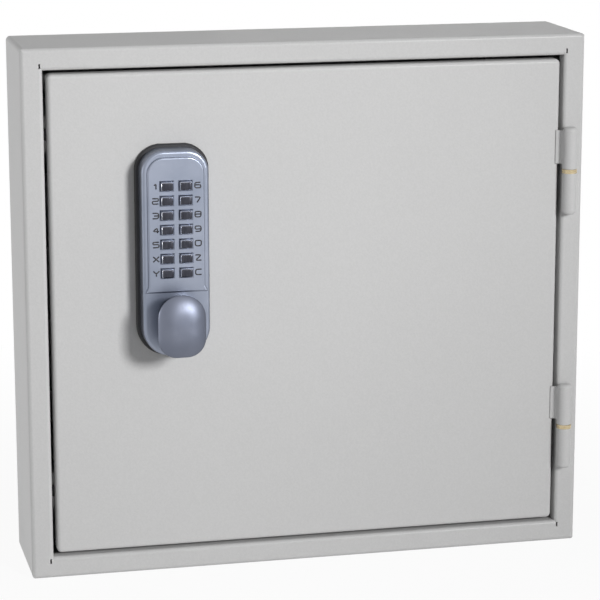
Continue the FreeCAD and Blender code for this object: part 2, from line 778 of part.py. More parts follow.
def make_housing():
    """Cast lock housing: rounded body, raised keypad field, fourteen bevelled pockets."""
    body = slab("lock_housing", HOUSING_BACK, "housing_depth",
                lambda sketch: lock_outline(sketch, "0"))
    treat_edges(body, "Fillet", "housing_rounds", "housing_edge",
                lambda edge: edge_at_front(edge, HOUSING_FACE))
    field = new_sketch(body, "keypad_field", "XZ_Plane",
                       HOUSING_FACE + " - housing_edge", LOCK_ACROSS, HOUSING_LOW)
    half = "panel_width / 2"
    wide = "panel_width / 2 + panel_flare"
    high = "(housing_height - panel_margin)"
    draw_outline(field, [
        ("-(%s)" % wide, "panel_foot"),
        (wide, "panel_foot"),
        (half, "panel_foot + 2 * panel_flare"),
        (half, high + " - panel_corner", "panel_corner", 1),
        (half + " - panel_corner", high),
        ("panel_corner - " + half, high, "panel_corner", 1),
        ("-" + half, high + " - panel_corner"),
        ("-" + half, "panel_foot + 2 * panel_flare"),
    ])
    pad(body, field, "panel_rise + housing_edge")
    treat_edges(body, "Fillet", "field_rounds", "panel_edge",
                lambda edge: edge_at_front(edge, PANEL_FACE))
    bay = new_sketch(body, "chassis_bay", "XZ_Plane", HOUSING_BACK, LOCK_ACROSS, HOUSING_LOW)
    draw_rectangle(bay, "-chassis_width / 2 - seat_clearance",
                   "chassis_width / 2 + seat_clearance",
                   "chassis_low - seat_clearance",
                   "chassis_low + chassis_height + seat_clearance")
    pocket(body, bay, PANEL_BACK + " - " + HOUSING_BACK, forward=True)
    for name, grow, taper, deep in (
            ("key_holes", "button_clearance", None, "front_wall"),
            ("key_bevels", "button_clearance + pocket_bevel", -45, "pocket_bevel")):
        key = new_sketch(body, name, "XZ_Plane", PANEL_FACE,
                         LOCK_ACROSS + " - button_columns / 2", HOUSING_LOW + " + button_low")
        draw_rectangle(key, "-button_width / 2 - (%s)" % grow,
                       "button_width / 2 + (%s)" % grow,
                       "-button_height / 2 - (%s)" % grow,
                       "button_height / 2 + (%s)" % grow)
        first = pocket(body, key, deep, taper=taper)
        repeat(body, first, key, 2, "button_columns", second=(BUTTON_ROWS, "button_pitch"))
    neck = new_sketch(body, "neck_recess", "XZ_Plane", HOUSING_FACE)
    draw_circle(neck, LOCK_ACROSS, KNOB_UP, "neck_radius + running_clearance")
    pocket(body, neck, "neck_length + end_clearance")
    bore = new_sketch(body, "spindle_bore", "XZ_Plane", HOUSING_BACK)
    draw_circle(bore, LOCK_ACROSS, KNOB_UP, "spindle_radius + running_clearance")
    pocket(body, bore, "housing_depth", forward=True)
    taps = new_sketch(body, "tapped_holes", "XZ_Plane", HOUSING_BACK)
    for up in LOCK_BOLTS:
        draw_circle(taps, LOCK_ACROSS, up, "lock_bolt_radius + running_clearance")
    pocket(body, taps, "lock_bolt_reach - gasket_thickness", forward=True)


def make_chassis():
    """Block behind the buttons that holds their stems."""
    body = slab("code_chassis", HOUSING_BACK, CHASSIS_FACE + " - " + HOUSING_BACK,
                lambda sketch: draw_rectangle(
                    sketch, LOCK_ACROSS + " - chassis_width / 2",
                    LOCK_ACROSS + " + chassis_width / 2", HOUSING_LOW + " + chassis_low",
                    HOUSING_LOW + " + chassis_low + chassis_height"))
    stem = new_sketch(body, "stem_holes", "XZ_Plane", CHASSIS_FACE,
                      LOCK_ACROSS + " - button_columns / 2", HOUSING_LOW + " + button_low")
    reach = "(button_stem + stem_clearance)"
    draw_rectangle(stem, "-" + reach, reach, "-" + reach, reach)
    first = pocket(body, stem, CHASSIS_FACE + " - " + HOUSING_BACK + " - stem_floor")
    repeat(body, first, stem, 2, "button_columns", second=(BUTTON_ROWS, "button_pitch"))


def make_button(key, column, row):
    """Push button: bevelled cap, retaining flange and stem."""
    name = "button_" + key
    across = "(%s + %d * button_columns / 2)" % (LOCK_ACROSS, column)
    up = "(%s + button_low + %d * button_pitch)" % (HOUSING_LOW, BUTTON_ROWS - 1 - row)
    body = new_body(name)
    flange = new_sketch(body, name + "_flange", "XZ_Plane",
                        PANEL_BACK + " - button_flange", across, up)
    draw_rectangle(flange, "-button_width / 2 - flange_margin", "button_width / 2 + flange_margin",
                   "-button_height / 2 - flange_margin", "button_height / 2 + flange_margin")
    pad(body, flange, "button_flange")
    cap = new_sketch(body, name + "_cap", "XZ_Plane", PANEL_BACK, across, up)
    draw_rectangle(cap, "-button_width / 2", "button_width / 2",
                   "-button_height / 2", "button_height / 2")
    pad(body, cap, "front_wall + button_proud")
    treat_edges(body, "Chamfer", name + "_bevel", "button_edge",
                lambda edge: edge_at_front(edge, PANEL_FACE + " + button_proud"))
    stem = new_sketch(body, name + "_stem", "XZ_Plane", PANEL_BACK + " - button_flange", across, up)
    draw_rectangle(stem, "-button_stem", "button_stem", "-button_stem", "button_stem")
    pad(body, stem, PANEL_BACK + " - button_flange - " + HOUSING_BACK + " - stem_floor"
        " - button_travel - end_clearance", backward=True)


def knob_rings(body, name, back, shares):
    """Rounded outlines of the knob; each share is of its depth, then of its width and height."""
    rings = []
    for index, (deep, wide) in enumerate(shares):
        ring = new_sketch(body, "%s_%d" % (name, index), "XZ_Plane",
                          "%s + %s * knob_depth" % (back, deep), LOCK_ACROSS, KNOB_UP)
        half = "(%s * knob_width / 2)" % wide
        tall = "(%s * knob_height / 2)" % wide
        draw_rounded(ring, "-" + half, half, "-" + tall, tall,
                     "(%s * knob_low_corner)" % wide, "(%s * knob_top_corner)" % wide)
        rings.append(ring)
    document.recompute()
    return rings


def make_knob():
    """Turn knob: a waisted body that flares to a rim, a domed face and a neck behind."""
    body = new_body("lock_knob")
    back = "(%s + knob_gap)" % HOUSING_FACE
    flare = ((0.00, 0.80), (0.30, 0.84), (0.56, 0.93), (0.74, 1.00))
    dome = ((0.74, 1.00), (0.84, 0.90), (0.93, 0.68), (1.00, 0.18))
    for name, shares in (("knob_flare", flare), ("knob_dome", dome)):
        rings = knob_rings(body, name, back, shares)
        loft = body.newObject("PartDesign::AdditiveLoft", name + "_loft")
        loft.Profile = rings[0]
        loft.Sections = rings[1:]
        document.recompute()
    neck = new_sketch(body, "knob_neck", "XZ_Plane", HOUSING_FACE + " - neck_length",
                      LOCK_ACROSS, KNOB_UP)
    draw_circle(neck, "0", "0", "neck_radius")
    pad(body, neck, "2 * neck_length")
    socket = new_sketch(body, "knob_socket_bore", "XZ_Plane", HOUSING_FACE + " - neck_length",
                        LOCK_ACROSS, KNOB_UP)
    draw_circle(socket, "0", "0", "spindle_radius + running_clearance")
    pocket(body, socket, "neck_length + knob_socket", forward=True)


# Lock works, inside the door

def make_spindle():
    body = new_body("knob_spindle")
    rod = new_sketch(body, "spindle_rod", "XZ_Plane", CRANK_FRONT, LOCK_ACROSS, KNOB_UP)
    draw_circle(rod, "0", "0", "spindle_radius")
    pad(body, rod, HOUSING_FACE + " + knob_socket - end_clearance - " + CRANK_FRONT)
    tang = new_sketch(body, "spindle_tang", "XZ_Plane", CRANK_BACK, LOCK_ACROSS, KNOB_UP)
    half = "spindle_square / 2"
    draw_rectangle(tang, "-" + half, half, "-" + half, half)
    pad(body, tang, "crank_steel")
    tap = new_sketch(body, "spindle_tap", "XZ_Plane", CRANK_BACK, LOCK_ACROSS, KNOB_UP)
    draw_circle(tap, "0", "0", "stud_radius + running_clearance")
    pocket(body, tap, "tap_depth", forward=True)


def make_bush():
    """Flanged bush that carries the spindle in the inner lock plate."""
    body = slab("spindle_bush", PLATE_BACK, "plate_steel", lambda sketch: draw_circle(
        sketch, LOCK_ACROSS, KNOB_UP, "bush_radius"))
    flange = new_sketch(body, "bush_collar", "XZ_Plane", PLATE_BACK + " - bush_step",
                        LOCK_ACROSS, KNOB_UP)
    draw_circle(flange, "0", "0", "bush_flange")
    pad(body, flange, "bush_step")
    bore = new_sketch(body, "bush_bore", "XZ_Plane", PLATE_BACK + " - bush_step",
                      LOCK_ACROSS, KNOB_UP)
    draw_circle(bore, "0", "0", "spindle_radius + running_clearance")
    pocket(body, bore, "plate_steel + bush_step", forward=True)


def make_lock_plate():
    low = "(%s + plate_low)" % HOUSING_LOW
    half = "plate_width / 2"
    holes = [(LOCK_ACROSS, KNOB_UP, "bush_radius + running_clearance")]
    holes += [(LOCK_ACROSS, up, "lock_bolt_radius + lock_bolt_hole") for up in LOCK_BOLTS]
    slab("lock_plate", PLATE_BACK, "plate_steel", lambda sketch: draw_rounded(
        sketch, "%s - %s" % (LOCK_ACROSS, half), "%s + %s" % (LOCK_ACROSS, half),
        low, low + " + plate_height", "plate_low_corner", "plate_top_corner"), holes)


def make_lock_bolts():
    """Two long screws from the inner plate into the housing."""
    body = new_body("lock_fixing_bolts")
    shank = new_sketch(body, "fixing_shank", "XZ_Plane", PLATE_BACK,
                       LOCK_ACROSS, LOCK_BOLTS[0])
    draw_hexagon(shank, "0", "0", "lock_bolt_radius")
    first = pad(body, shank, "plate_steel + door_steel + lock_bolt_reach - end_clearance")
    repeat(body, first, shank, 2, "lock_bolt_spacing", axis="V_Axis")
    heads = new_sketch(body, "fixing_heads", "XZ_Plane",
                       PLATE_BACK + " - lock_bolt_radius", LOCK_ACROSS, LOCK_BOLTS[0])
    draw_hexagon(heads, "0", "0", "lock_bolt_head")
    draw_hexagon(heads, "0", "lock_bolt_spacing", "lock_bolt_head")
    pad(body, heads, "lock_bolt_radius")


def make_crank():
    """Crank on the square end of the spindle; its pin stands forward into the bolt."""
    body = new_body("lock_crank")
    plate = new_sketch(body, "crank_hub_disc", "XZ_Plane", CRANK_BACK)
    draw_circle(plate, "0", "0", "crank_hub")
    pad(body, plate, "crank_steel")
    arm = new_sketch(body, "crank_arm_bar", "XZ_Plane", CRANK_BACK)
    draw_outline(arm, [
        ("-crank_root", "0"),
        ("crank_root", "0"),
        ("crank_boss", "crank_arm"),
        ("-crank_boss", "crank_arm"),
    ])
    pad(body, arm, "crank_steel")
    boss = new_sketch(body, "crank_boss_disc", "XZ_Plane", CRANK_BACK)
    draw_circle(boss, "0", "crank_arm", "crank_boss")
    pad(body, boss, "crank_steel")
    pin = new_sketch(body, "crank_pin_rod", "XZ_Plane", CRANK_FRONT)
    draw_circle(pin, "0", "crank_arm", "crank_pin")
    pad(body, pin, "crank_gap + bolt_steel + bolt_gap")
    square = new_sketch(body, "crank_square", "XZ_Plane", CRANK_BACK)
    half = "(spindle_square / 2 + running_clearance)"
    reach = "(sqrt(2) * %s)" % half
    corners = []
    for quarter in range(4):
        angle = "(%d + crank_turn)" % (45 + 90 * quarter)
        corners.append(("%s * cos(%s * 1deg)" % (reach, angle),
                        "%s * sin(%s * 1deg)" % (reach, angle)))
    draw_outline(square, corners)
    pocket(body, square, "crank_steel", forward=True)
    body.Placement = FreeCAD.Placement(
        FreeCAD.Vector(), FreeCAD.Rotation(FreeCAD.Vector(0, 1, 0), 45))
    bind(body, "Placement.Base.x", LOCK_ACROSS)
    bind(body, "Placement.Base.z", KNOB_UP)
    bind(body, "Placement.Rotation.Angle", "crank_turn")


def make_crank_screw():
    body = new_body("crank_screw")
    head = new_sketch(body, "crank_screw_head", "XZ_Plane", CRANK_BACK + " - head_height",
                      LOCK_ACROSS, KNOB_UP)
    draw_hexagon(head, "0", "0", "head_reach")
    pad(body, head, "head_height")
    shank = new_sketch(body, "crank_screw_shank", "XZ_Plane", CRANK_BACK, LOCK_ACROSS, KNOB_UP)
    draw_circle(shank, "0", "0", "stud_radius")
    pad(body, shank, "tap_depth - end_clearance")


def make_locking_bolt():
    """Flat bolt with an open notch above the spindle, in which the crank pin works."""
    body = new_body("locking_bolt")
    low = "bolt_rise"
    high = "bolt_rise + bolt_height"
    centre = "crank_arm * sin(crank_turn * 1deg)"
    half = "crank_pin + yoke_clearance"
    top = "crank_arm + crank_pin + yoke_clearance"
    outline = new_sketch(body, "bolt_outline", "XZ_Plane", BOLT_BACK, LOCK_ACROSS, KNOB_UP)
    draw_outline(outline, [
        ("-bolt_nose", low),
        ("%s - (%s)" % (centre, half), low),
        ("%s - (%s)" % (centre, half), top),
        ("%s + %s" % (centre, half), top),
        ("%s + %s" % (centre, half), low),
        ("bolt_tail", low),
        ("bolt_tail", high),
        ("-bolt_nose", high),
    ])
    pad(body, outline, "bolt_steel")
    treat_edges(body, "Chamfer", "bolt_lead", "nose_bevel", lambda edge: (
        edge_along(edge, 2) and near(edge.Vertexes[0].X, value_of(LOCK_ACROSS + " - bolt_nose"))
        and near(edge.Vertexes[0].Y, -value_of(BOLT_FRONT))))


def make_guide(name, across):
    """Folded guide on the door's inner face, closed round the locking bolt."""
    body = new_body("bolt_guide_" + name)
    section = new_sketch(body, "guide_section_" + name, "YZ_Plane",
                         "%s + %s" % (LOCK_ACROSS, across), up="%s + bolt_rise" % KNOB_UP)
    low = "(-guide_clearance - guide_steel)"
    high = "(bolt_height + guide_clearance + guide_steel)"
    base = "-%s" % PLATE_FRONT
    back = "guide_clearance + guide_steel - %s" % BOLT_BACK
    draw_outline(section, [
        (base, low + " - guide_foot"),
        (base + " + guide_steel", low + " - guide_foot"),
        (base + " + guide_steel", low),
        (back, low),
        (back, high),
        (base + " + guide_steel", high),
        (base + " + guide_steel", high + " + guide_foot"),
        (base, high + " + guide_foot"),
        (base, high + " - guide_steel"),
        ("-%s - guide_clearance - guide_steel" % BOLT_FRONT, high + " - guide_steel"),
        ("-%s - guide_clearance - guide_steel" % BOLT_FRONT, low + " + guide_steel"),
        (base, low + " + guide_steel"),
    ])
    pad(body, section, "guide_length", middle=True)
    window = new_sketch(body, "guide_window_" + name, "YZ_Plane",
                        "%s + %s" % (LOCK_ACROSS, across), up="%s + bolt_rise" % KNOB_UP)
    draw_rectangle(window, "-%s - guide_clearance" % BOLT_FRONT,
                   "guide_clearance - %s" % BOLT_BACK,
                   "-guide_clearance", "bolt_height + guide_clearance")
    cut = pocket(body, window, "guide_length")
    cut.SideType = "Symmetric"
    holes = new_sketch(body, "guide_holes_" + name, "XZ_Plane", PLATE_FRONT)
    for up in guide_screws():
        draw_hexagon(holes, "%s + %s" % (LOCK_ACROSS, across), up,
                     "stud_radius + seat_clearance")
    pocket(body, holes, "guide_steel")


def guide_screws():
    """Heights of the two stud holes in a guide's feet."""
    middle = "guide_clearance + guide_steel + guide_foot / 2"
    return ("%s + bolt_rise - %s" % (KNOB_UP, middle.replace(" + ", " - ")),
            "%s + bolt_rise + bolt_height + %s" % (KNOB_UP, middle))


def make_guide_fixings():
    """Weld studs on the door, each with its nut, that hold both guides."""
    body = new_body("guide_nuts")
    seat = PLATE_FRONT + " - guide_steel"
    nuts = new_sketch(body, "nut_outlines", "XZ_Plane", seat + " - nut_height")
    studs = new_sketch(body, "stud_outlines", "XZ_Plane", seat)
    ends = new_sketch(body, "stud_ends", "XZ_Plane", seat + " - nut_height - stud_end")
    for across in ("-guide_left", "guide_right"):
        for up in guide_screws():
            centre = "(%s + %s)" % (LOCK_ACROSS, across)
            draw_hexagon(nuts, centre, up, "nut_reach")
            draw_hexagon(studs, centre, up, "stud_radius")
            draw_hexagon(ends, centre, up, "stud_radius")
    pad(body, nuts, "nut_height")
    pad(body, studs, "guide_steel")
    pad(body, ends, "stud_end")


make_shell()
make_back_panel()
for stop_name, stop_place in (("upper", STOP_UP), ("lower", "-" + STOP_UP)):
    make_door_stop(stop_name, stop_place)
make_door_buffers()
for rail_name, rail_side in (("left", -1), ("right", 1)):
    make_rail(rail_name, rail_side)
for bar in range(BAR_ROWS):
    make_bar(bar)
    make_hooks(bar)
make_bar_screws()
make_door()
for hinge_name, hinge_place in HINGES:
    make_hinge(hinge_name, hinge_place)
make_gasket()
make_housing()
make_chassis()
for keys, side_of_lock in ((LEFT_KEYS, -1), (RIGHT_KEYS, 1)):
    for key_row, key_name in enumerate(keys):
        make_button(key_name, side_of_lock, key_row)
make_knob()
make_spindle()
make_bush()
make_lock_plate()
make_lock_bolts()
make_crank()
make_crank_screw()
make_locking_bolt()
make_guide("left", "-guide_left")
make_guide("right", "guide_right")
make_guide_fixings()

# Every object must be computed and every piece whole before it is written
document.recompute()
faults = [item.Name for item in document.Objects
          if "Invalid" in item.State or "Error" in item.State]
for part in parts:
    shape = part.Shape
    if shape.isNull() or not shape.isValid() or not shape.Solids:
        faults.append(part.Label)
if faults:
    raise RuntimeError("failed: " + ", ".join(faults))

os.makedirs("parts", exist_ok=True)
for part in parts:
    part.Shape.exportStep("parts/%s.step" % part.Label)
print("wrote %d pieces" % len(parts))
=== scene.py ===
import bmesh
import bpy
import math
from mathutils import Matrix, Vector


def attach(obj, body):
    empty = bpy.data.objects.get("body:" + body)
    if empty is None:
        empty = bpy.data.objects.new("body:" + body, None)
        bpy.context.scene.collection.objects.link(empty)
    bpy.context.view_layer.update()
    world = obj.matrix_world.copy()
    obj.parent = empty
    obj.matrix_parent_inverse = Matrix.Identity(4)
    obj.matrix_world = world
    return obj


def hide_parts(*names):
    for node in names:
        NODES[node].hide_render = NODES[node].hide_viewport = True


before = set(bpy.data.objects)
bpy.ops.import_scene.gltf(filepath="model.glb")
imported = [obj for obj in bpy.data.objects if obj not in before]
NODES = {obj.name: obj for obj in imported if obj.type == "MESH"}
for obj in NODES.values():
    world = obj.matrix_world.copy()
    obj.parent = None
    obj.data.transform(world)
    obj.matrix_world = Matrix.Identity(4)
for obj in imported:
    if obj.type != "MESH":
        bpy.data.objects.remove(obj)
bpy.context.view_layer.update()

MM = 0.001

# ---------------------------------------------------------------- camera

CAMERA_PLACE = (-0.3766, -1.6623, 0.368)
CAMERA_YAW = math.radians(13.12)
CAMERA_PITCH = math.radians(12.58)
CAMERA_ROLL = math.radians(-0.07)
CAMERA_LENS = 150.0
CAMERA_SENSOR = 36.0


def place_camera():
    """A long lens to the left of the cabinet and a little above it, as photographed."""
    forward = Vector((
        math.sin(CAMERA_YAW) * math.cos(CAMERA_PITCH),
        math.cos(CAMERA_YAW) * math.cos(CAMERA_PITCH),
        -math.sin(CAMERA_PITCH),
    ))
    level = Vector((math.cos(CAMERA_YAW), -math.sin(CAMERA_YAW), 0))
    upright = level.cross(forward)
    right = level * math.cos(CAMERA_ROLL) + upright * math.sin(CAMERA_ROLL)
    up = upright * math.cos(CAMERA_ROLL) - level * math.sin(CAMERA_ROLL)
    lens = bpy.data.cameras.new("camera")
    lens.lens = CAMERA_LENS
    lens.sensor_width = CAMERA_SENSOR
    lens.clip_start = 0.1
    lens.clip_end = 20
    camera = bpy.data.objects.new("camera", lens)
    turn = Matrix((right, up, -forward)).transposed().to_4x4()
    camera.matrix_world = Matrix.Translation(CAMERA_PLACE) @ turn
    bpy.context.scene.collection.objects.link(camera)
    bpy.context.scene.camera = camera


# ---------------------------------------------------------------- materials


# the part of a noise or cell pattern's range that a finish uses
PATTERN_LOW, PATTERN_HIGH = 0.3, 0.7


class Finish:
    """A material under work: its nodes, its shader and a pattern place in metres."""

    def __init__(self, name, metallic=0.0):
        self.material = bpy.data.materials.new(name)
        self.material.use_nodes = True
        self.nodes = self.material.node_tree.nodes
        self.links = self.material.node_tree.links
        self.shader = self.nodes["Principled BSDF"]
        self.shader.inputs["Metallic"].default_value = metallic
        self.place = self.nodes.new("ShaderNodeTexCoord").outputs["Object"]

    def stretched(self, across, deep, up):
        """The pattern place drawn out along the axes."""
        mapping = self.nodes.new("ShaderNodeMapping")
        mapping.inputs["Scale"].default_value = (across, deep, up)
        self.links.new(self.place, mapping.inputs["Vector"])
        return mapping.outputs["Vector"]

    def noise(self, scale, detail, roughness, place=None):
        noise = self.nodes.new("ShaderNodeTexNoise")
        noise.inputs["Scale"].default_value = scale
        noise.inputs["Detail"].default_value = detail
        noise.inputs["Roughness"].default_value = roughness
        self.links.new(place or self.place, noise.inputs["Vector"])
        return noise.outputs["Fac"]

    def cells(self, scale):
        cells = self.nodes.new("ShaderNodeTexVoronoi")
        cells.feature = "SMOOTH_F1"
        cells.inputs["Scale"].default_value = scale
        cells.inputs["Smoothness"].default_value = 0.6
        self.links.new(self.place, cells.inputs["Vector"])
        return cells.outputs["Distance"]

    def ranged(self, value, low, high):
        between = self.nodes.new("ShaderNodeMapRange")
        between.inputs["From Min"].default_value = PATTERN_LOW
        between.inputs["From Max"].default_value = PATTERN_HIGH
        between.inputs["To Min"].default_value = low
        between.inputs["To Max"].default_value = high
        self.links.new(value, between.inputs["Value"])
        return between.outputs["Result"]

    def tones(self, value, *stops):
        """A colour ramp over value; each stop is (place, colour)."""
        ramp = self.nodes.new("ShaderNodeValToRGB")
        marks = ramp.color_ramp.elements
        while len(marks) < len(stops):
            marks.new(0.5)
        for mark, (at, colour) in zip(marks, stops):
            mark.position = at
            mark.color = (*colour, 1)
        self.links.new(value, ramp.inputs["Fac"])
        return ramp.outputs["Color"]

    def blended(self, amount, first, second):
        mix = self.nodes.new("ShaderNodeMix")
        mix.data_type = "RGBA"
        mix.inputs["Factor"].default_value = amount
        self.links.new(first, mix.inputs["A"])
        self.links.new(second, mix.inputs["B"])
        return mix.outputs["Result"]

    def added(self, first, second, share):
        add = self.nodes.new("ShaderNodeMath")
        add.operation = "MULTIPLY_ADD"
        self.links.new(second, add.inputs[0])
        add.inputs[1].default_value = share
        self.links.new(first, add.inputs[2])
        return add.outputs["Value"]

    def colour(self, socket):
        self.links.new(socket, self.shader.inputs["Base Color"])

    def rough(self, socket):
        self.links.new(socket, self.shader.inputs["Roughness"])

    def relief(self, height, depth, strength):
        bump = self.nodes.new("ShaderNodeBump")
        bump.inputs["Strength"].default_value = strength
        bump.inputs["Distance"].default_value = depth
        self.links.new(height, bump.inputs["Height"])
        self.links.new(bump.outputs["Normal"], self.shader.inputs["Normal"])


def grey(level, warmth=0.0):
    """A linear grey from its sRGB level of 0 to 255, a little warmer or cooler."""
    share = level / 255
    linear = ((share + 0.055) / 1.055) ** 2.4
    return (linear * (1 + warmth), linear, linear * (1 - warmth))


def powder_coat(name, level, grain=900.0, depth=0.00012):
    """Baked powder paint: fine orange peel over a slow drift of tone."""
    finish = Finish(name)
    drift = finish.noise(7.0, 3.0, 0.55)
    slow = finish.tones(
        drift, (0.3, grey(level - 2, 0.001)), (0.7, grey(level + 2, 0.001))
    )
    peel = finish.noise(grain, 2.0, 0.45)
    fine = finish.noise(grain * 3.1, 2.0, 0.5)
    speckle = finish.tones(
        peel, (0.32, grey(level - 5, 0.001)), (0.68, grey(level + 4, 0.001))
    )
    finish.colour(finish.blended(0.45, slow, speckle))
    finish.rough(finish.ranged(fine, 0.48, 0.60))
    finish.relief(finish.added(peel, fine, 0.35), depth, 0.35)
    finish.shader.inputs["Specular IOR Level"].default_value = 0.24
    finish.shader.inputs["Coat Weight"].default_value = 0.1
    finish.shader.inputs["Coat Roughness"].default_value = 0.18
    return finish.material


def satin_metal(name, dark, light, low, high):
    """Satin chrome over a casting: a very fine blasted grain and a faint clouding."""
    finish = Finish(name, metallic=1.0)
    cloud = finish.noise(38.0, 3.0, 0.5)
    finish.colour(finish.tones(cloud, (0.3, dark), (0.7, light)))
    blast = finish.noise(2600.0, 2.0, 0.6)
    finish.rough(finish.ranged(blast, low, high))
    finish.relief(blast, 0.00003, 0.35)
    return finish.material


def polished_metal(name, dark, light):
    """Polished push-button metal with fine vertical polishing lines."""
    finish = Finish(name, metallic=1.0)
    lines = finish.noise(420.0, 3.0, 0.6, finish.stretched(6.0, 1.0, 0.5))
    finish.colour(finish.tones(lines, (0.3, dark), (0.7, light)))
    finish.rough(finish.ranged(lines, 0.13, 0.24))
    finish.relief(lines, 0.00001, 0.25)
    return finish.material


def plated_steel(name, dark, light):
    """Bright zinc plate: patches of slightly different tone over a fine tooth."""
    finish = Finish(name, metallic=1.0)
    patches = finish.cells(240.0)
    finish.colour(finish.tones(patches, (0.05, dark), (0.6, light)))
    tooth = finish.noise(1500.0, 2.0, 0.5)
    finish.rough(finish.ranged(tooth, 0.24, 0.4))
    finish.relief(tooth, 0.00003, 0.4)
    return finish.material


def turned_brass(name):
    """Brass with fine turning rings round the hinge axis."""
    finish = Finish(name, metallic=1.0)
    rings = finish.noise(260.0, 3.0, 0.6, finish.stretched(1.0, 1.0, 9.0))
    finish.colour(finish.tones(
        rings, (0.3, (0.42, 0.34, 0.20)), (0.7, (0.64, 0.54, 0.36))
    ))
    finish.rough(finish.ranged(rings, 0.18, 0.34))
    finish.relief(rings, 0.00002, 0.4)
    return finish.material


def moulded_rubber(name):
    """Black rubber with a fine moulded grain and a little dusting."""
    finish = Finish(name)
    dust = finish.noise(60.0, 3.0, 0.6)
    finish.colour(finish.tones(
        dust, (0.35, (0.008, 0.008, 0.010)), (0.8, (0.022, 0.022, 0.026))
    ))
    grain = finish.noise(1800.0, 2.0, 0.5)
    finish.rough(finish.ranged(grain, 0.42, 0.6))
    finish.relief(grain, 0.00005, 0.5)
    return finish.material


def cast_metal(name):
    """Rough grey casting."""
    finish = Finish(name, metallic=1.0)
    sand = finish.noise(700.0, 4.0, 0.6)
    finish.colour(finish.tones(
        sand, (0.3, (0.16, 0.16, 0.17)), (0.7, (0.30, 0.30, 0.31))
    ))
    finish.rough(finish.ranged(sand, 0.4, 0.58))
    finish.relief(sand, 0.00012, 0.7)
    return finish.material


def printed_ink(name):
    """Black marking paint, slightly uneven in its cover."""
    finish = Finish(name)
    cover = finish.noise(900.0, 3.0, 0.6)
    finish.colour(finish.tones(
        cover, (0.35, (0.006, 0.006, 0.008)), (0.8, (0.030, 0.030, 0.036))
    ))
    finish.rough(finish.ranged(cover, 0.32, 0.5))
    return finish.material


def paint_nodes(material, *names):
    """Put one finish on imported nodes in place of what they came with."""
    for name in names:
        NODES[name].data.materials.clear()
        NODES[name].data.materials.append(material)


def paint_cad():
    """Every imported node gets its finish; those that new pieces share are handed back."""
    coat = powder_coat("powder_coat_body", 203)
    door_coat = powder_coat("powder_coat_door", 205)
    inner_coat = powder_coat("powder_coat_back", 203)
    bar_coat = powder_coat("powder_coat_bars", 214, grain=1200.0, depth=0.00008)
    satin = satin_metal(
        "satin_chrome", (0.21, 0.235, 0.295), (0.27, 0.295, 0.36), 0.32, 0.42
    )
    knob_satin = satin_metal(
        "satin_chrome_knob", (0.140, 0.155, 0.200), (0.185, 0.200, 0.250), 0.42, 0.50
    )
    # painted light on the buttons: the near-black face colour is a painted dark reflection
    # and the light rim colour a painted highlight, two copies of one polished metal
    dark = polished_metal("button_face_painted_dark_reflection", (0.035, 0.036, 0.046), (0.075, 0.077, 0.095))
    bright = polished_metal("button_rim_painted_highlight", (0.60, 0.61, 0.66), (0.80, 0.81, 0.85))
    zinc = plated_steel("zinc_plate", (0.42, 0.43, 0.42), (0.62, 0.62, 0.60))
    brass = turned_brass("turned_brass")
    rubber = moulded_rubber("moulded_rubber")
    casting = cast_metal("sand_casting")

    paint_nodes(coat, "cabinet_shell", "door_stop_upper", "door_stop_lower")
    paint_nodes(
        coat, "hinge_knuckle_frame_upper", "hinge_knuckle_frame_lower",
        "hinge_knuckle_door_upper", "hinge_knuckle_door_lower",
    )
    paint_nodes(door_coat, "door_panel")
    paint_nodes(inner_coat, "back_panel", "hook_rail_left", "hook_rail_right")
    paint_nodes(bar_coat, *[f"hook_bar_{row}" for row in range(1, 7)])
    paint_nodes(zinc, *[f"key_hooks_{row}" for row in range(1, 7)])
    paint_nodes(
        zinc, "bar_screws", "lock_plate", "lock_fixing_bolts", "spindle_bush",
        "bolt_guide_left", "bolt_guide_right", "guide_nuts", "knob_spindle",
        "lock_crank", "crank_screw", "locking_bolt", "hinge_pin_upper", "hinge_pin_lower",
    )
    paint_nodes(brass, "hinge_washer_upper", "hinge_washer_lower")
    paint_nodes(rubber, "lock_gasket", "door_buffers")
    paint_nodes(casting, "code_chassis")
    paint_nodes(satin, "lock_housing")
    paint_nodes(knob_satin, "lock_knob")
    paint_nodes(dark, *[f"button_{legend}" for legend in "1234567890xyzc"])
    return knob_satin, dark, bright


# ---------------------------------------------------------------- modelling by hand


def deselect():
    bpy.ops.object.select_all(action="DESELECT")


def editing():
    bpy.ops.object.mode_set(mode="EDIT")


def done_editing():
    bpy.ops.object.mode_set(mode="OBJECT")


def pick(kind, test):
    """Select the vertices, edges or faces of the open mesh that pass a test.

    The test is given the middle of each and its corner points.
    """
    bpy.ops.mesh.select_mode(type=kind)
    mesh = bmesh.from_edit_mesh(bpy.context.object.data)
    for group in (mesh.faces, mesh.edges, mesh.verts):
        for item in group:
            item.select = False
    for item in {"VERT": mesh.verts, "EDGE": mesh.edges, "FACE": mesh.faces}[kind]:
        points = [item.co] if kind == "VERT" else [vertex.co for vertex in item.verts]
        if test(sum(points, Vector()) / len(points), points):
            item.select_set(True)
    mesh.select_flush_mode()
    bmesh.update_edit_mesh(bpy.context.object.data)


def draw_on(deep, share, centre, wide=None):
    """Extrude the picked face by a depth, and scale it about a centre line."""
    bpy.ops.mesh.extrude_region_move(TRANSFORM_OT_translate={"value": (0, deep, 0)})
    bpy.ops.transform.resize(value=(wide or share, 1, share), center_override=centre)


def finish_piece(piece, name, body, material=None, angle=None):
    """Name a piece, put its place in its mesh, shade it and let it ride.

    A piece that already has its finishes keeps them when no material is given.
    """
    deselect()
    piece.select_set(True)
    bpy.context.view_layer.objects.active = piece
    bpy.ops.object.transform_apply(location=True, rotation=True, scale=True)
    if angle is None:
        bpy.ops.object.shade_smooth()
    else:
        bpy.ops.object.shade_smooth_by_angle(angle=math.radians(angle))
    piece.name = name
    piece.data.name = name
    if material:
        piece.data.materials.clear()
        piece.data.materials.append(material)
    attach(piece, body)


# how near a face or point has to be to count as on a plane
NEAR = 0.1 * MM

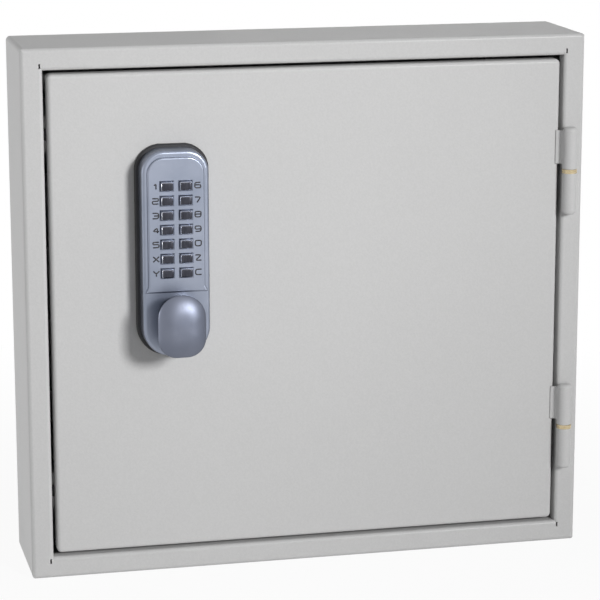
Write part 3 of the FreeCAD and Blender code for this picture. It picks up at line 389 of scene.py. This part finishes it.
FIRST_ROW = 88.22 * MM
ROW_PITCH = 9.57 * MM
LOCK_X = -93 * MM
KNOB_Z = -1.5 * MM
KNOB_BACK = -92.0 * MM
KNOB_ROOT = 0.78
KNOB_NECK = 16.0 * MM
KNOB_WIDTH = 31.5 * MM
KNOB_HEIGHT = 41.5 * MM
KNOB_TOP_CORNER = 15.2 * MM
KNOB_LOW_CORNER = 12.4 * MM
KNOB_LONG_EDGE = 5 * MM
KNOB_SMOOTHING = 2
# a loop just outside the neck keeps its root crisp; then come the neck's runs to the back
NECK_LOOP = 1.06
NECK_RUNS = (0.5 * MM, 5.5 * MM, 0.5 * MM)
# depth in front of the back in millimetres, then the share of the full outline
KNOB_RINGS = (
    (3.0, 0.800), (7.0, 0.842), (11.0, 0.897), (14.5, 0.958), (16.6, 0.995),
    (17.1, 1.000), (17.6, 1.000), (18.0, 0.986), (18.6, 0.955), (19.7, 0.880),
    (20.9, 0.770), (22.0, 0.620), (22.8, 0.430), (23.15, 0.220),
)


def model_knob(metal):
    """The turn knob: a rounded outline drawn forward through its flare, rim and dome."""
    deselect()
    bpy.ops.mesh.primitive_plane_add(
        size=1, location=(LOCK_X, KNOB_BACK, KNOB_Z), rotation=(math.radians(90), 0, 0)
    )
    piece = bpy.context.object
    piece.scale = (KNOB_WIDTH, KNOB_HEIGHT, 1)
    bpy.ops.object.transform_apply(location=True, rotation=True, scale=True)
    centre = (LOCK_X, KNOB_BACK, KNOB_Z)
    editing()
    pick("VERT", lambda middle, _: middle.z > KNOB_Z)
    bpy.ops.mesh.bevel(offset=KNOB_TOP_CORNER, segments=10, affect="VERTICES")
    pick("VERT", lambda middle, _: middle.z < KNOB_Z - KNOB_HEIGHT * 0.4)
    bpy.ops.mesh.bevel(offset=KNOB_LOW_CORNER, segments=9, affect="VERTICES")
    pick("EDGE", lambda middle, ends: (ends[0] - ends[1]).length > KNOB_LONG_EDGE)
    bpy.ops.mesh.subdivide(number_cuts=3)
    pick("FACE", lambda middle, _: True)
    bpy.ops.transform.resize(value=(KNOB_ROOT, 1, KNOB_ROOT), center_override=centre)
    before_depth, before_share = 0.0, KNOB_ROOT
    for depth, share in KNOB_RINGS:
        draw_on((before_depth - depth) * MM, share / before_share, centre)
        before_depth, before_share = depth, share
    bpy.ops.mesh.merge(type="CENTER")
    pick("FACE", lambda middle, _: middle.y > KNOB_BACK - NEAR)
    neck_wide = KNOB_NECK / (KNOB_WIDTH * KNOB_ROOT)
    neck_tall = KNOB_NECK / (KNOB_HEIGHT * KNOB_ROOT)
    draw_on(0, neck_tall * NECK_LOOP, centre, neck_wide * NECK_LOOP)
    draw_on(0, 1 / NECK_LOOP, centre)
    for run in NECK_RUNS:
        draw_on(run, 1.0, centre)
    pick("FACE", lambda middle, _: True)
    bpy.ops.mesh.remove_doubles(threshold=0.000005)
    bpy.ops.mesh.normals_make_consistent(inside=False)
    done_editing()
    rounder = piece.modifiers.new("rounder", "SUBSURF")
    rounder.levels = KNOB_SMOOTHING
    rounder.render_levels = KNOB_SMOOTHING
    bpy.ops.object.modifier_apply(modifier="rounder")
    finish_piece(piece, "knob_casting", "knob", metal)
    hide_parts("lock_knob")


BUTTON_FRONT = -96.3 * MM
FLANGE_FRONT = -90.0 * MM
FLANGE_BACK = -89.0 * MM
STEM_BACK = -80.9 * MM
FLANGE_MARGIN = 0.7 * MM
STEM_SIDE = 3.0 * MM
BUTTON_WIDE = 8.0 * MM
BUTTON_HIGH = 5.6 * MM
BUTTON_CORNER = 0.7 * MM
BUTTON_SMOOTH_ANGLE = 28
COLUMN_HALF = 6.2 * MM
# depth of each step of the crown in millimetres, then the share of its width and height
CROWN_STEPS = (
    (0.45, 0.96, 0.94), (0.35, 0.95, 0.925), (0.20, 0.94, 0.91), (0.10, 0.93, 0.88),
)
# the steps together, so that the crown ends where the cap began
CROWN_DEPTH = 1.1 * MM
# faces nearer to the front than this get the painted dark reflection, the rest is the rim
# with its painted highlight
DARK_FACE_DEPTH = 0.2 * MM


def model_button(face, rim):
    """One push button: crowned cap with a painted dark reflection on its face and a painted
    highlight on its rim, flange and stem.
    """
    deselect()
    centre = (0, 0, 0)
    bpy.ops.mesh.primitive_cube_add(
        size=1, location=(0, (FLANGE_FRONT + BUTTON_FRONT) / 2, 0)
    )
    piece = bpy.context.object
    piece.scale = (BUTTON_WIDE, FLANGE_FRONT - BUTTON_FRONT, BUTTON_HIGH)
    bpy.ops.object.transform_apply(location=True, rotation=True, scale=True)
    editing()
    pick("EDGE", lambda middle, ends: abs(ends[0].y - ends[1].y) > MM)
    bpy.ops.mesh.bevel(offset=BUTTON_CORNER, segments=3, affect="EDGES")
    pick("FACE", lambda middle, _: middle.y < BUTTON_FRONT + NEAR)
    for deep, wide, high in CROWN_STEPS:
        draw_on(-deep * MM, high, centre, wide)
    pick("VERT", lambda middle, _: middle.y < BUTTON_FRONT + NEAR)
    bpy.ops.transform.translate(value=(0, CROWN_DEPTH, 0))
    pick("FACE", lambda middle, _: middle.y > FLANGE_FRONT - NEAR)
    flange_wide = BUTTON_WIDE + 2 * FLANGE_MARGIN
    flange_high = BUTTON_HIGH + 2 * FLANGE_MARGIN
    draw_on(0, flange_high / BUTTON_HIGH, centre, flange_wide / BUTTON_WIDE)
    draw_on(FLANGE_BACK - FLANGE_FRONT, 1.0, centre)
    draw_on(0, STEM_SIDE / flange_high, centre, STEM_SIDE / flange_wide)
    draw_on(STEM_BACK - FLANGE_BACK, 1.0, centre)
    pick("FACE", lambda middle, _: True)
    bpy.ops.mesh.normals_make_consistent(inside=False)
    # the rim slot takes the painted highlight, the face slot the painted dark reflection
    piece.data.materials.append(rim)
    piece.data.materials.append(face)
    pick("FACE", lambda middle, _: middle.y < BUTTON_FRONT + DARK_FACE_DEPTH)
    piece.active_material_index = 1
    bpy.ops.object.material_slot_assign()
    done_editing()
    return piece


def model_buttons(face, rim):
    """The button is modelled once and copied to every place on the keypad."""
    pattern = model_button(face, rim)
    for column, keys in ((-1, "12345xy"), (1, "67890zc")):
        for row, key in enumerate(keys):
            piece = pattern.copy()
            piece.data = pattern.data.copy()
            bpy.context.scene.collection.objects.link(piece)
            piece.location = (LOCK_X + column * COLUMN_HALF, 0, FIRST_ROW - row * ROW_PITCH)
            finish_piece(
                piece, "button_cap_" + key, "button_" + key, angle=BUTTON_SMOOTH_ANGLE
            )
            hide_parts("button_" + key)
    bpy.data.objects.remove(pattern)


# ---------------------------------------------------------------- markings

KEYPAD_FACE = -93.3 * MM
LEFT_LEGEND_X = -106.7 * MM
RIGHT_LEGEND_X = -78.8 * MM
LEGEND_HEIGHT = 4.4 * MM
LEGEND_WIDTH = 4.8 * MM
INK_THICKNESS = 0.05 * MM
BAR_FACE = -16.5 * MM
BAR_HEIGHTS = [125, 75, 25, -25, -75, -125]
HOOK_PLACES = [-133, -95, -57, -19, 19, 57, 95, 133]
NUMBER_HEIGHT = 4.6 * MM
NUMBER_STRETCH = 1.1
NUMBER_BOLDNESS = 0.014
# how far a number stands from its hook, in millimetres as the hooks' own places are
NUMBER_BESIDE, NUMBER_ABOVE = 9, 4


def one_word(text, height, stretch, x, y, z):
    """A word as a thin mesh that faces the front, centred on x and z, with its back at y."""
    deselect()
    bpy.ops.object.text_add(location=(0, 0, 0))
    word = bpy.context.object
    word.data.body = text
    word.data.resolution_u = 4
    word.data.offset = NUMBER_BOLDNESS
    bpy.ops.object.convert(target="MESH")
    word = bpy.context.object
    bpy.ops.object.origin_set(type="ORIGIN_GEOMETRY", center="BOUNDS")
    size = height / word.dimensions.y
    word.scale = (size * stretch, size, size)
    word.rotation_euler = (math.radians(90), 0, 0)
    word.location = (x, y, z)
    bpy.ops.object.transform_apply(location=True, rotation=True, scale=True)
    return word


def join_words(words):
    """Several words made one piece."""
    deselect()
    for word in words:
        word.select_set(True)
    bpy.context.view_layer.objects.active = words[0]
    bpy.ops.object.join()
    return bpy.context.object


def thicken_words(words, name, body, material):
    """Flat words made one piece with the thickness of ink, which rides on a body."""
    piece = join_words(words)
    piece.name = name
    piece.data.name = name
    editing()
    bpy.ops.mesh.select_all(action="SELECT")
    bpy.ops.mesh.remove_doubles(threshold=0.000002)
    bpy.ops.mesh.normals_make_consistent(inside=False)
    done_editing()
    thick = piece.modifiers.new("ink", "SOLIDIFY")
    thick.thickness = INK_THICKNESS
    thick.offset = 0
    bpy.ops.object.modifier_apply(modifier="ink")
    piece.data.materials.clear()
    piece.data.materials.append(material)
    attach(piece, body)


# strokes of each legend on a grid one wide and one high; corners are rounded when drawn
LEGEND_STROKES = {
    "1": [[(0.30, 0.72), (0.62, 1.0), (0.62, 0.0)]],
    "2": [[(0.0, 1.0), (1.0, 1.0), (1.0, 0.52), (0.0, 0.52), (0.0, 0.0), (1.0, 0.0)]],
    "3": [[(0.0, 1.0), (1.0, 1.0), (1.0, 0.0), (0.0, 0.0)], [(0.25, 0.5), (1.0, 0.5)]],
    "4": [[(0.78, 0.0), (0.78, 1.0), (0.0, 0.3), (1.05, 0.3)]],
    "5": [[(1.0, 1.0), (0.0, 1.0), (0.0, 0.58), (1.0, 0.58), (1.0, 0.0), (0.0, 0.0)]],
    "6": [[(0.95, 1.0), (0.0, 1.0), (0.0, 0.0), (1.0, 0.0), (1.0, 0.56), (0.0, 0.56)]],
    "7": [[(0.0, 1.0), (1.0, 1.0), (0.35, 0.0)]],
    "8": [[(0.5, 1.0), (1.0, 1.0), (1.0, 0.0), (0.0, 0.0), (0.0, 1.0), (0.56, 1.0)],
          [(0.0, 0.52), (1.0, 0.52)]],
    "9": [[(0.05, 0.0), (1.0, 0.0), (1.0, 1.0), (0.0, 1.0), (0.0, 0.44), (1.0, 0.44)]],
    "0": [[(0.5, 1.0), (1.0, 1.0), (1.0, 0.0), (0.0, 0.0), (0.0, 1.0), (0.56, 1.0)]],
    "X": [[(0.0, 0.0), (1.0, 1.0)], [(0.0, 1.0), (1.0, 0.0)]],
    "Y": [[(0.0, 1.0), (0.5, 0.45), (1.0, 1.0)], [(0.5, 0.45), (0.5, 0.0)]],
    "Z": [[(0.0, 1.0), (1.0, 1.0), (0.0, 0.0), (1.0, 0.0)]],
    "C": [[(1.0, 1.0), (0.0, 1.0), (0.0, 0.0), (1.0, 0.0)]],
}
LEGEND_STROKE = 0.86 * MM
LEGEND_ROUND = 1.5 * MM
LEGEND_PRESS = 0.16
ARC_STEPS = 5
# an arc takes no more than this share of the stroke on either side of its corner
ARC_SHARE = 0.48


def rounded_path(points, radius):
    """The points with each inner corner turned through a short arc."""
    path = [points[0]]
    for before, corner, after in zip(points, points[1:], points[2:]):
        back, ahead = before - corner, after - corner
        reach = min(radius, back.length * ARC_SHARE, ahead.length * ARC_SHARE)
        first = corner + back.normalized() * reach
        last = corner + ahead.normalized() * reach
        for step in range(ARC_STEPS + 1):
            share = step / ARC_STEPS
            path.append(first.lerp(corner, share).lerp(corner.lerp(last, share), share))
    return path + [points[-1]]


def one_legend(legend, x, z):
    """A legend extruded point by point, given a round stroke and pressed flat."""
    deselect()
    middle = Vector((x, KEYPAD_FACE, z))
    bpy.ops.mesh.primitive_plane_add(
        size=LEGEND_STROKE, location=middle, rotation=(math.radians(90), 0, 0)
    )
    bpy.ops.object.transform_apply(location=True, rotation=True, scale=True)
    editing()
    bpy.ops.mesh.select_mode(type="VERT")
    bpy.ops.mesh.select_all(action="SELECT")
    bpy.ops.mesh.merge(type="CENTER")
    place = middle
    for number, stroke in enumerate(LEGEND_STROKES[legend]):
        points = [
            middle + Vector((
                (across - 0.5) * (LEGEND_WIDTH - LEGEND_STROKE),
                0,
                (up - 0.5) * (LEGEND_HEIGHT - LEGEND_STROKE),
            ))
            for across, up in stroke
        ]
        path = rounded_path(points, LEGEND_ROUND)
        if number:
            bpy.ops.mesh.duplicate_move(
                TRANSFORM_OT_translate={"value": path[0] - place}
            )
        else:
            bpy.ops.transform.translate(value=path[0] - place)
        place = path[0]
        for point in path[1:]:
            bpy.ops.mesh.extrude_region_move(
                TRANSFORM_OT_translate={"value": point - place}
            )
            place = point
    done_editing()
    bpy.ops.object.convert(target="CURVE")
    line = bpy.context.object
    line.data.bevel_depth = LEGEND_STROKE / 2
    line.data.bevel_resolution = 2
    line.data.use_fill_caps = True
    bpy.ops.object.convert(target="MESH")
    editing()
    bpy.ops.mesh.select_all(action="SELECT")
    bpy.ops.mesh.remove_doubles(threshold=0.000001)
    bpy.ops.mesh.normals_make_consistent(inside=False)
    bpy.ops.transform.resize(value=(1, LEGEND_PRESS, 1), center_override=middle)
    done_editing()
    return bpy.context.object


def mark_keypad(ink):
    words = []
    for legends, x in (("12345XY", LEFT_LEGEND_X), ("67890ZC", RIGHT_LEGEND_X)):
        for row, legend in enumerate(legends):
            words.append(one_legend(legend, x, FIRST_ROW - row * ROW_PITCH))
    finish_piece(join_words(words), "keypad_legends", "door", ink)


def number_bars(ink):
    for row, height in enumerate(BAR_HEIGHTS):
        words = []
        for place, x in enumerate(HOOK_PLACES):
            number = row * len(HOOK_PLACES) + place + 1
            words.append(one_word(
                str(number), NUMBER_HEIGHT, NUMBER_STRETCH,
                (x + NUMBER_BESIDE) * MM, BAR_FACE, (height + NUMBER_ABOVE) * MM,
            ))
        thicken_words(words, f"bar_numbers_{row + 1}", "cabinet", ink)


# ---------------------------------------------------------------- light and floor


# name, place, what it is aimed at, size, power in watts, beam in degrees
LAMPS = (
    ("key", (0.72, -1.78, 0.62), (-0.17, -0.07, 0.13), (0.36, 0.36), 2.9, 56),
    ("left_fill", (-1.7, 0.3, 0.12), (-0.19, -0.03, 0.0), (0.6, 0.5), 7.6, 180),
    ("back_fill", (0.8, 2.0, 0.02), (0, 0, 0), (0.9, 0.5), 12, 180),
)
ROOM_LIGHT = 0.2
FLOOR_SIZE = 12
FLOOR_HEIGHT = -177.6 * MM
FLOOR_TONE = 0.82
# how far from the middle of the floor its own shade gives way to plain white, in metres
SHADE_NEAR, SHADE_FAR = 0.22, 0.6
WHITE_NEAR, WHITE_FAR = 0.93, 1.0


def area_light(name, place, target, size, power, beam):
    lamp = bpy.data.lights.new(name, "AREA")
    lamp.shape = "RECTANGLE"
    lamp.size, lamp.size_y = size
    lamp.energy = power
    lamp.spread = math.radians(beam)
    lamp_object = bpy.data.objects.new(name, lamp)
    lamp_object.location = place
    aim = Vector(target) - Vector(place)
    lamp_object.rotation_euler = aim.to_track_quat("-Z", "Y").to_euler()
    bpy.context.scene.collection.objects.link(lamp_object)


def light_scene():
    for lamp in LAMPS:
        area_light(*lamp)


def white_where_seen(tree):
    """1 where the camera, a reflection or clear glass sees the surface, 0 for plain light."""
    nodes, links = tree.nodes, tree.links
    rays = nodes.new("ShaderNodeLightPath")
    first = nodes.new("ShaderNodeMath")
    first.operation = "MAXIMUM"
    links.new(rays.outputs["Is Camera Ray"], first.inputs[0])
    links.new(rays.outputs["Is Glossy Ray"], first.inputs[1])
    seen = nodes.new("ShaderNodeMath")
    seen.operation = "MAXIMUM"
    links.new(first.outputs["Value"], seen.inputs[0])
    links.new(rays.outputs["Is Transmission Ray"], seen.inputs[1])
    return seen.outputs["Value"]


def surround():
    """A room that is white where it is seen, over a floor that keeps a faint shadow."""
    world = bpy.data.worlds.new("studio")
    bpy.context.scene.world = world
    world.use_nodes = True
    nodes, links = world.node_tree.nodes, world.node_tree.links
    nodes.clear()
    out = nodes.new("ShaderNodeOutputWorld")
    room = nodes.new("ShaderNodeBackground")
    room.inputs["Color"].default_value = (1, 1, 1, 1)
    room.inputs["Strength"].default_value = ROOM_LIGHT
    white = nodes.new("ShaderNodeBackground")
    white.inputs["Color"].default_value = (1, 1, 1, 1)
    white.inputs["Strength"].default_value = 1.0
    either = nodes.new("ShaderNodeMixShader")
    links.new(white_where_seen(world.node_tree), either.inputs["Fac"])
    links.new(room.outputs["Background"], either.inputs[1])
    links.new(white.outputs["Background"], either.inputs[2])
    links.new(either.outputs["Shader"], out.inputs["Surface"])

    deselect()
    bpy.ops.mesh.primitive_plane_add(size=FLOOR_SIZE, location=(0, 0, FLOOR_HEIGHT))
    floor = bpy.context.object
    floor.name = "floor"
    paper = bpy.data.materials.new("floor_paper")
    paper.use_nodes = True
    tree = paper.node_tree
    shader = tree.nodes["Principled BSDF"]
    shader.inputs["Base Color"].default_value = (FLOOR_TONE, FLOOR_TONE, FLOOR_TONE, 1)
    shader.inputs["Roughness"].default_value = 0.9
    glow = tree.nodes.new("ShaderNodeEmission")
    glow.inputs["Strength"].default_value = 1.0
    soft = tree.nodes.new("ShaderNodeMixShader")
    place = tree.nodes.new("ShaderNodeTexCoord")
    reach = tree.nodes.new("ShaderNodeVectorMath")
    reach.operation = "LENGTH"
    tree.links.new(place.outputs["Object"], reach.inputs[0])
    near = tree.nodes.new("ShaderNodeMapRange")
    near.inputs["From Min"].default_value = SHADE_NEAR
    near.inputs["From Max"].default_value = SHADE_FAR
    near.inputs["To Min"].default_value = WHITE_NEAR
    near.inputs["To Max"].default_value = WHITE_FAR
    tree.links.new(reach.outputs["Value"], near.inputs["Value"])
    share = tree.nodes.new("ShaderNodeMath")
    share.operation = "MULTIPLY"
    tree.links.new(near.outputs["Result"], share.inputs[1])
    tree.links.new(white_where_seen(tree), share.inputs[0])
    tree.links.new(share.outputs["Value"], soft.inputs["Fac"])
    tree.links.new(shader.outputs["BSDF"], soft.inputs[1])
    tree.links.new(glow.outputs["Emission"], soft.inputs[2])
    tree.links.new(soft.outputs["Shader"], tree.nodes["Material Output"].inputs["Surface"])
    floor.data.materials.append(paper)


# ---------------------------------------------------------------- the whole

bpy.context.scene.view_settings.view_transform = "Standard"
place_camera()
knob_finish, button_face_painted_dark_reflection, button_rim_painted_highlight = paint_cad()
model_knob(knob_finish)
model_buttons(button_face_painted_dark_reflection, button_rim_painted_highlight)
ink = printed_ink("marking_ink")
mark_keypad(ink)
number_bars(ink)
light_scene()
surround()
